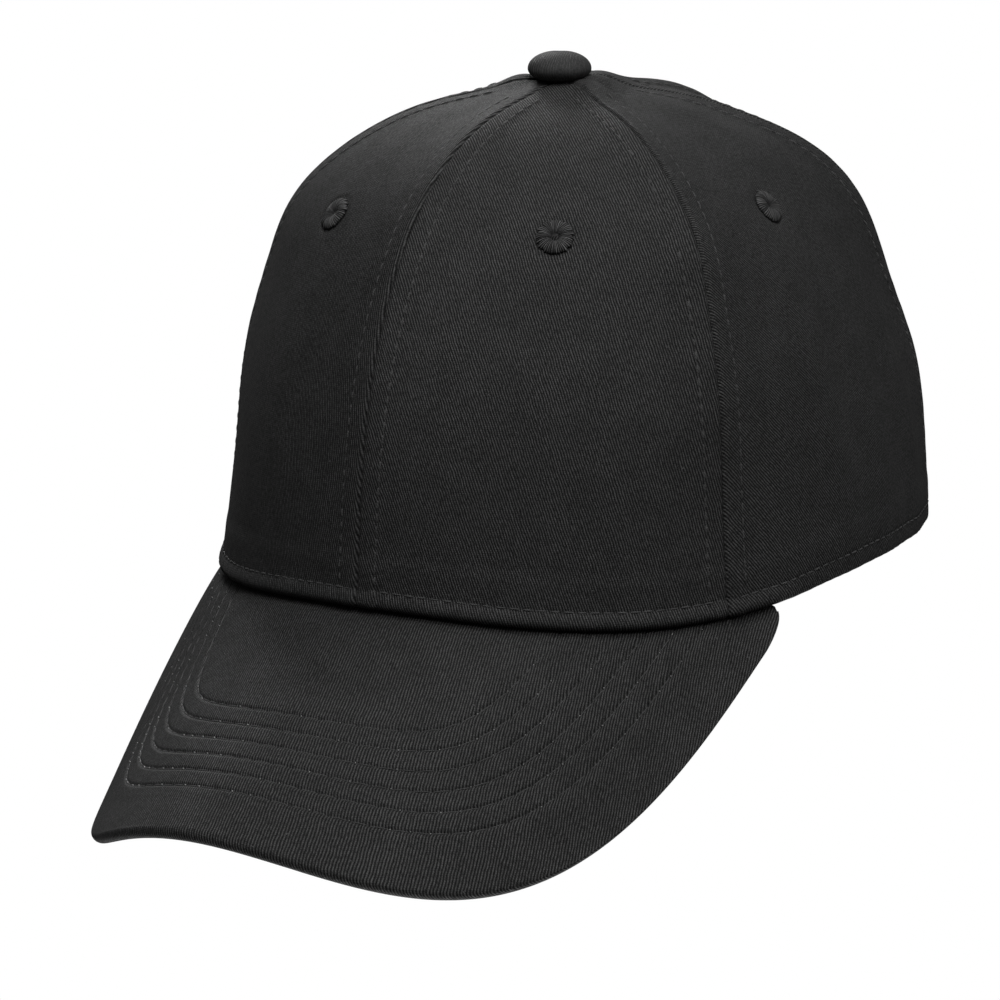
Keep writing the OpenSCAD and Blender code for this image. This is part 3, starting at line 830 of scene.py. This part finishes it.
def bill_grid():
    """u and s of the bill's points, their distances from its edge, the length along it."""
    ends = BILL_END - 0.04 * (1 - cosd(np.linspace(0, 90, 26)))
    u = np.unique(np.concatenate([sind(np.linspace(-90, 90, 421)) * 0.944, ends, -ends]))
    s, inward = out_from_rim(u)
    fine = [np.array([ROLL_R, 2.3, 3.0, 3.9])]
    edges = [3.9] + [row + shift for row in BILL_ROWS for shift in (NEAR_ROW[0], NEAR_ROW[-1])]
    for low, high in zip(edges[::2], edges[1::2]):
        fine.append(np.linspace(low, high, max(3, round((high - low) / CELL)))[1:])
    fine += [row + NEAR_ROW for row in BILL_ROWS]
    wanted = np.unique(np.round(np.concatenate(fine), 3))
    width = inward[:, -1:]
    wanted = np.concatenate([wanted, np.linspace(wanted[-1] + 1, width.max() - 3, 24)])
    # where the bill is too narrow for all the lines, they share its width
    share = 1 - (1 - (np.arange(len(wanted)) + 1) / len(wanted)) ** 3
    near_hem = NEAR_HEM * np.minimum(1, width / 14)
    room = (width - near_hem[:, :1] * 1.2) * share
    target = np.concatenate([np.minimum(wanted, room), width - near_hem], 1)
    places = np.array([np.interp(t, d, q) for t, d, q in zip(target, inward, s)])
    return u, places, target, travelled(bill(u, s[:, 20]))


def make_bill():
    """Both covers: rolled round the bill's edge in front, tucked behind the hem at the back."""
    u, s, inward, along = bill_grid()
    u2 = u[:, None]
    base, down = bill(u2, s), bill_down(u2, s)
    raised = bill_relief(inward, along[:, None], u2) * fade(u2 ** 2, 0.93, 0.97)
    sunk = 0.55 * bell(s, 1.8)
    reach = bill(u, norm(bill_run(u))) - base[:, 0]
    radius = np.minimum(norm(reach)[:, None], ROLL_R)
    reach = unit(reach)
    centre = base[:, 0] + ROLL_R * down[:, 0]

    def rolled(q, thin):
        wide = np.maximum(radius - thin, 0.25 * radius)
        return centre + wide * sind(q) * reach - (ROLL_R - thin) * cosd(q) * down[:, 0]

    def cover(side, angles, thin):
        """Side 0 is on top and 1 underneath; thin is the depth below the cover's surface."""
        if side == 0:
            depth = thin - raised + sunk
            tucks = ((1.7 + thin, -thin), (1.9 + thin, 0.25 - thin), (1.9 + thin, 4.5))
        else:
            depth = BILL_T - thin + raised
            tucks = ((2.9, thin - BILL_T), (3.8 - thin, thin - BILL_T), (3.8 - thin, 0.4))
        body = base + depth[..., None] * down
        tucked = [bill(u, -inside + 0 * u) + np.array([0, 0, height]) for inside, height in tucks]
        return np.stack([rolled(q, thin) for q in angles] + list(body.swapaxes(0, 1)) + tucked)

    # the cloth's own length from front to back, which the twill follows
    forward = s * np.hypot(1, slope(u2)) - 1.12 * hem_pt(u2 * BILL_ANGLE)[..., 1]
    back = [forward[:, -1] - q for q in (1.8, 2.2, 6.4)]
    names = (("bill_top_cloth", "bill_top_cover", np.linspace(112, 6, 15)),
             ("bill_under_cloth", "bill_under_cover", np.linspace(113.5, 174, 10)))
    for side, (name, node, angles) in enumerate(names):
        outer, inner = cover(side, angles, 0.0), cover(side, angles, COVER_T)
        edge = [forward[:, 0] + ROLL_R * math.radians(q) for q in (angles if side == 0 else 180 - angles)]
        y = np.stack(edge + list(forward.T) + back)
        x = outer[..., 0] * (1 + 0.18 * (outer[..., 0] / BILL_SIDE) ** 2)
        uv = grain(x, -y, BILL_LEAN)
        if side == 0:
            outer, inner, uv = outer[::-1], inner[::-1], uv[::-1]
        piece = shell(name, outer, inner, BILL_TWILL, uv)
        declare(node)


def bill_stitches():
    """The rows on both faces, and pale flecks at some needle holes on top: painted highlights that stand in
    for glints of light on the thread.
    """
    for side, name in ((0, "bill_top_stitches"), (1, "bill_under_stitches")):
        rows = []
        for u, places, _ in SEWN_ROWS:
            down = bill_down(u, places)
            out = -down if side == 0 else down
            line = bill(u, places) + side * BILL_T * down - STITCH_SINK * out
            first, second = stitch_line(line, BILL_STITCH, 0.9)
            jitter = 0.08 * RNG.standard_normal((len(first), 3)) * np.array([1, 1, 0])
            rows.append((at(line, first) + jitter, at(line, second) - jitter, at(out, first)))
        first, second, up = joined(rows)
        threads(name, first, second, up, THREAD, BILL_THREAD_R)
        if side == 0:
            # Pale flecks at some needle holes: painted highlights of light glinting on the thread.
            chosen = RNG.random(len(first)) < 0.42
            way = unit(second - first)[chosen]
            tip = first[chosen] - 0.25 * way + 0.24 * up[chosen]
            threads("bill_painted_thread_glints", tip - 0.13 * way, tip + 0.13 * way, up[chosen], THREAD_GLINT_PAINT,
                    THREAD_GLINT_R)


# --- inside the crown ---


def make_buckram():
    """The stiff open cloth behind the front panels, cut out round their eyelets."""
    for hand, side in (("left", 1), ("right", -1)):
        first, last = sorted((0, side * SEAMS[1]))
        a, share = np.linspace(first + 0.1, last - 0.1, 60), np.linspace(0, 13 / 14, 90)[:, None]
        low = climb(a, HEM_CLEAR)
        t = low + (TOP_T - low) * share
        a2 = a + 0 * t
        base, inner = (layer(a2, t, depth) for depth in (BUCKRAM_IN, BUCKRAM_IN + BUCKRAM_T))
        across = (a2 - (first + last) / 2) * mm_per_degree(a2, t)
        up = np.interp(t, CLIMBS, CLIMBED)
        eye = crown(side * EYELET_TURNS[0], EYELET_RISE)
        keep = norm(base[1:, 1:] / 2 + base[:-1, :-1] / 2 - eye) > EYELET_R + 0.8
        piece = shell(f"buckram_{hand}_cloth", base, inner, BUCKRAM, grain(across, up), keep)
        declare(f"buckram_{hand}")


def top_z(p):
    """Height of the plain crown over a level point near the button."""
    reach = np.where(p[..., 1] < 0, FRONT, BACK)
    x, y = p[..., 0] / SIDE, -p[..., 1] / reach
    a = np.degrees(np.arctan2(x, y))
    chord = 1 - fall(a, 0 * a + 80.0) / np.maximum(cosd(80.0), 0) ** (2 / mixed(a, FALL_N))
    r = np.hypot(x, y)
    t = np.degrees(np.arccos(np.minimum(r / (1 - chord), 1) ** (mixed(a, FALL_N) / 2)))
    return hem_z(a) + over_hem(a, t) + PEAK_H * bell(r, PEAK_W)


TAPE_ACROSS = np.array([-1, -.93, -.8, -.6, -.3, 0, .3, .6, .8, .93, 1])  # -1 and 1 are the edges
TAPE_MID, TAPE_ROWS = 5, (1, 9)  # columns of the middle and of the stitch rows
TAPE_TOP = 24.0  # reach of the stretch that crosses under the button


def tape_side(a, depth, low, flip):
    """One leg of a tape, up along the seam at turn a."""
    z = np.linspace(low, 90, 60)[:, None]
    t = climb(a, z)
    turn = TAPE_ACROSS * TAPE_W / 2 / (np.hypot(SIDE * cosd(a), BACK * sind(a)) * fall(a, t)) * 180 / math.pi
    return layer(a + flip * turn, t, depth)


def tape_top(a0, a1, depth):
    """The stretch of a tape that crosses under the button."""
    e0, e1 = (unit(hem_pt(a)[:2]) for a in (a0, a1))
    cross0, cross1 = (np.array([-e[1], e[0]]) for e in (e0, e1))
    rows = []
    for s in np.linspace(TAPE_TOP, -TAPE_TOP, 33):
        f = (s / TAPE_TOP + 1) / 2
        side = unit(f * cross0 - (1 - f) * cross1)
        p = abs(s) * (e0 if s > 0 else e1) + TAPE_ACROSS[:, None] * TAPE_W / 2 * side
        rows.append(np.concatenate([p, (top_z(p) - depth)[:, None]], -1))
    return np.array(rows)


def make_tapes():
    # name, turns of its two legs, extra depth where it crosses the others, heights where the legs start
    kinds = (("centre", 0, 180, 0.2, 2, ARCH_CLEAR), ("cross_left", SEAMS[1], -SEAMS[2], 0.9, 2, 2),
             ("cross_right", -SEAMS[1], SEAMS[2], 1.6, 2, 2))
    for word, a0, a1, lift, low0, low1 in kinds:
        grids = []
        for depth, inward in ((TAPE_IN, 1), (TAPE_IN + TAPE_T, -1)):
            soft = depth + inward * 0.12 * np.abs(TAPE_ACROSS) ** 6
            grids.append(np.concatenate([tape_side(a0, soft, low0, 1), tape_top(a0, a1, soft + lift)[1:-1],
                                         tape_side(a1, soft, low1, -1)[::-1]]))
        outer, inner = grids
        y = travelled(outer[:, TAPE_MID])[:, None]
        uv = grain(TAPE_ACROSS * TAPE_W / 2, y)
        piece = shell(f"seam_tape_{word}_cloth", outer[::-1], inner[::-1], TAPE, uv[::-1])
        declare(f"seam_tape_{word}")
        rows = [sewn_along(inner[:, k] * 0.75 + inner[:, TAPE_MID] * 0.25, unit(inner[:, k] - outer[:, k]))
                for k in TAPE_ROWS]
        threads(f"seam_tape_{word}_stitches", *joined(rows), THREAD)


# Heights of the sweatband's mesh lines, closest at its folded edge and at its overlocked one
BAND_Z = np.array([1, 1.3, 1.8, 2.5, 3.2, 4, 5, 6.5, 8.5, 11, 14, 17, 20, 22.5, 24.5, 26, 27, 27.8, 28.4,
                   29, 29.5, 30])
BAND_ROWS = (4.0, 26.5)  # heights of its stitch rows
OVERLOCK = 2.2  # from one thread over its upper edge to the next


def make_sweatband():
    """A soft band, turned under at the hem and overlocked at its upper edge."""
    a2, z2 = np.meshgrid(np.linspace(-BAND_TURN, BAND_TURN, 460), BAND_Z)
    t = climb(a2, z2)
    girth = np.interp(a2, TURNS, TURNED)
    ripple = 0.10 * np.sin(girth * 0.35 + z2 * 0.2) * fade(np.abs(z2 - 14), 8, 14)
    soft = 0.55 * fade(np.abs(z2 - 14.5), 6, 12.5) + ripple
    pull = 0.25 * (bell(z2 - BAND_ROWS[0], 0.8) + bell(z2 - BAND_ROWS[1], 0.8)) * tug(girth)
    rounding = 0.35 * (bell(z2 - BAND_Z[0], 0.5) + bell(z2 - BAND_Z[-1], 0.5))
    inside = BAND_IN + BAND_T
    outer = layer(a2, t, BAND_IN + rounding)
    inner = layer(a2, t, inside + soft - pull - rounding)
    piece = shell("sweatband_cloth", outer, inner, BAND, grain(girth, z2, 30))
    declare("sweatband")
    a = np.linspace(-BAND_TURN + 0.5, BAND_TURN - 0.5, 1500)
    rows = []
    for height in BAND_ROWS:
        t = climb(a, height)
        rows.append(sewn_along(layer(a, t, inside), -normal(a, t)))
    length = travelled(layer(a, climb(a, 28), BAND_IN))
    place = np.arange(1.0, length[-1] - 1, OVERLOCK)
    low_a, high_a = np.interp(place, length, a), np.interp(place + OVERLOCK / 2, length, a)
    rows.append((layer(low_a, climb(low_a, 27.6), inside + 0.05),
                 layer(high_a, climb(high_a, 30.1), inside - 0.2), -normal(low_a, climb(low_a, 29))))
    threads("sweatband_stitches", *joined(rows), THREAD)


def make_binding():
    """The tape that covers the cut edge inside the arch opening."""
    bend, out = np.linspace(0, 180, 220), np.linspace(0, 1, 9)[:, None]
    a = 180 - (ARCH_ANGLE + 0.3 + out * 4.2) * cosd(bend)
    t = climb(a, 0.5 + (ARCH_H + 1 + out * 5.8) * sind(bend))
    edge = 0.14 * np.abs(2 * out - 1) ** 4
    outer, inner = layer(a, t, CLOTH + 0.05 + edge), layer(a, t, CLOTH + 0.9 - edge)
    along = travelled(outer[4])
    uv = grain(out * 8, along)
    piece = shell("arch_binding_cloth", outer[::-1], inner[::-1], TAPE, uv[::-1])
    declare("arch_binding")
    rows = [sewn_along(inner[k], -normal(a[k], t[k])) for k in (1, 7)]
    threads("arch_binding_stitches", *joined(rows), THREAD)


# --- strap and clasp ---


RIBBON_UP = np.array([0, .03, .1, .2, .35, .5, .65, .8, .9, .97, 1])  # mesh lines across a strap


def back_pt(a, depth):
    """A level point below the hem's line, depth inside it."""
    p = hem_pt(a)
    return p[..., :2] - depth * unit(np.stack([p[..., 0] / SIDE ** 2, p[..., 1] / BACK ** 2], -1))


def clasp_pt(x, y):
    """A level point in the clasp's own axes: x along the strap, y outwards."""
    origin = back_pt(CLASP_TURN, 0)
    out = unit(origin - back_pt(CLASP_TURN, 1))
    return origin + x * np.array([out[1], -out[0]]) + y * out


def make_strap_piece(name, node, path, thick, wide, low, row_inset, sewn):
    """A flat strap on edge along a level path, with stitch rows on both faces."""
    way = unit(np.gradient(path, axis=0))
    side = np.stack([-way[:, 1], way[:, 0], 0 * way[:, 0]], -1)
    spine = np.concatenate([path, np.full((len(path), 1), low)], -1)
    height = (RIBBON_UP * wide)[:, None]
    edge = (1 - 0.75 * np.abs(2 * RIBBON_UP - 1) ** 16)[:, None, None]
    outer, inner = (spine + sign * thick / 2 * edge * side + height[..., None] * np.array([0, 0, 1])
                    for sign in (1, -1))
    along = travelled(path)
    piece = shell(name, outer, inner, TWILL, grain(along, height, 30))
    piece.data.flip_normals()
    declare(node)
    rows = []
    for z in (row_inset, wide - row_inset):
        for sign in (1, -1):
            line = spine + sign * (thick / 2 - 0.02) * side + np.array([0, 0, z])
            rows.append(sewn_along(line[sewn], sign * side[sewn]))
    threads(name.replace("cloth", "stitches"), *joined(rows), THREAD, THREAD_R * 0.85)


def make_strap():
    mid = STRAP_OUT - STRAP_T / 2
    path = np.concatenate([
        [back_pt(a, 3.9 - fade(a, 148, 158) + STRAP_T / 2) for a in np.arange(144.0, 186.1, 1)],
        [clasp_pt(x, mid) for x in np.arange(9, -9.1, -1.5)],
        [back_pt(a, 5.4 + STRAP_T / 2) for a in np.arange(208.0, 217.1, 1)]])
    make_strap_piece("closure_strap_cloth", "closure_strap", path, STRAP_T, STRAP_W, STRAP_Z, 2.2,
                     slice(2, None))
    r = BAR_R + PIN_GAP + LOOP_T / 2
    loop = np.concatenate([
        [back_pt(a, 5.2 - LOOP_T / 2) for a in np.arange(217.0, 207.9, -1)],
        [clasp_pt(BAR_X - 3, BAR_Y - r - 0.3)],
        [clasp_pt(BAR_X + r * cosd(q), BAR_Y + r * sind(q)) for q in np.arange(-90, 91, 15)],
        [clasp_pt(BAR_X - 3.4, BAR_Y - 0.4)],
        [back_pt(a, 3.9 + LOOP_T / 2) for a in np.arange(208.0, 217.1, 1)]])
    make_strap_piece("clasp_loop_cloth", "clasp_loop", loop, LOOP_T, STRAP_W - 1, STRAP_Z + 0.5, 1.8,
                     slice(0, 9))


# --- finishes on the parts that keep their own shape ---


def finish_cad_parts():
    finishes = ((CLASP_METAL, ("clasp_frame", "clasp_pin", "clasp_lever")),
                (BUTTON_METAL, ("button_shell", "button_rivet")), (BOARD, ("bill_board",)))
    for material, nodes in finishes:
        for node in nodes:
            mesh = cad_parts[node].data
            mesh.materials.clear()
            mesh.materials.append(material)


# --- studio ---


def aimed(name, data, place, way):
    """Links a lamp or a camera that stands at place and looks against way."""
    made = placed(name, data)
    made.location = place
    made.rotation_mode = "QUATERNION"
    made.rotation_quaternion = (-way).to_track_quat("-Z", "Y")
    return made


def direction(turn, height):
    """Unit vector, turned from the cap's front towards its left and raised by height."""
    return Vector((sind(turn) * cosd(height), -cosd(turn) * cosd(height), sind(height)))


def only_seen(tree, shown, lit):
    """A strength of light that differs between the camera and the object."""
    path = tree.nodes.new("ShaderNodeLightPath")
    mix = tree.nodes.new("ShaderNodeMix")
    mix.inputs[2].default_value = lit
    mix.inputs[3].default_value = shown
    tree.links.new(path.outputs["Is Camera Ray"], mix.inputs[0])
    return mix.outputs[0]


FILL, FLOOR_FILL = 0.042, 0.6  # light from all round, and the floor's share of it
FLOOR_REACH, FLOOR_DROP, LAMP_SIZE = 6.0, 0.5, 0.55  # metres
# name, turn from the front towards the cap's left, height in degrees, distance in metres, power in watts
LIGHTS = (("key", 34, 45, 1.6, 5.5), ("top", 34, 70, 1.6, 6.9), ("left", 110, 25, 1.6, 1.6),
          ("back", 160, 70, 1.6, 2.4), ("rear", 225, 30, 1.6, 6.0), ("under", 0, -88, 0.45, 1.5))
CAMERA_TURN, CAMERA_HEIGHT, LENS = 33.855, 11.64, 223.2
CAMERA_AWAY, CAMERA_LEFT, CAMERA_DOWN = 1.5147, 0.0036, 0.0183  # metres from the cap's middle


def make_floor(level):
    """A white floor that can't be seen from below."""
    p = Paint("pale_floor")
    glow = p.node("Emission", {"Strength": only_seen(p.tree, 1.0, FLOOR_FILL * FILL)})
    under = p.node("NewGeometry", out="Backfacing")
    p.put(p.tree.nodes["Material Output"].inputs["Surface"],
          p.node("MixShader", (under, glow, p.node("BsdfTransparent"))))
    mesh = bpy.data.meshes.new("floor")
    corners = [(x * FLOOR_REACH, y * FLOOR_REACH, level) for x, y in ((-1, -1), (1, -1), (1, 1), (-1, 1))]
    mesh.from_pydata(corners, [], [(0, 1, 2, 3)])
    mesh.materials.append(p.material)
    placed("floor", mesh)


def make_studio():
    low, high = CAD_BOX
    world = bpy.data.worlds.new("studio")
    world.use_nodes = True
    bpy.context.scene.world = world
    sky = world.node_tree.nodes["Background"]
    sky.inputs["Color"].default_value = (1, 1, 1, 1)
    world.node_tree.links.new(only_seen(world.node_tree, 1.0, FILL), sky.inputs["Strength"])
    make_floor(low.z - FLOOR_DROP)
    for name, turn, height, distance, power in LIGHTS:
        data = bpy.data.lights.new(name, "AREA")
        data.shape, data.size, data.energy = "DISK", LAMP_SIZE, power
        way = direction(turn, height)
        aimed(name, data, (low + high) / 2 + way * distance, way).visible_camera = False


def make_camera():
    """A long lens, to the front and left of the cap and a little above it."""
    low, high = CAD_BOX
    back, right = direction(CAMERA_TURN, CAMERA_HEIGHT), Vector((cosd(CAMERA_TURN), sind(CAMERA_TURN), 0))
    data = bpy.data.cameras.new("camera")
    data.sensor_width, data.lens = 36, LENS
    shift = CAMERA_AWAY * back - CAMERA_LEFT * right - CAMERA_DOWN * back.cross(right)
    bpy.context.scene.camera = aimed("camera", data, (low + high) / 2 + shift, back)
    bpy.context.scene.view_settings.view_transform = "Standard"


make_camera()
make_studio()
make_crown()
crown_stitches()
make_eyelets()
make_button()
make_bill()
bill_stitches()
make_buckram()
make_tapes()
make_sweatband()
make_binding()
make_strap()
finish_cad_parts()
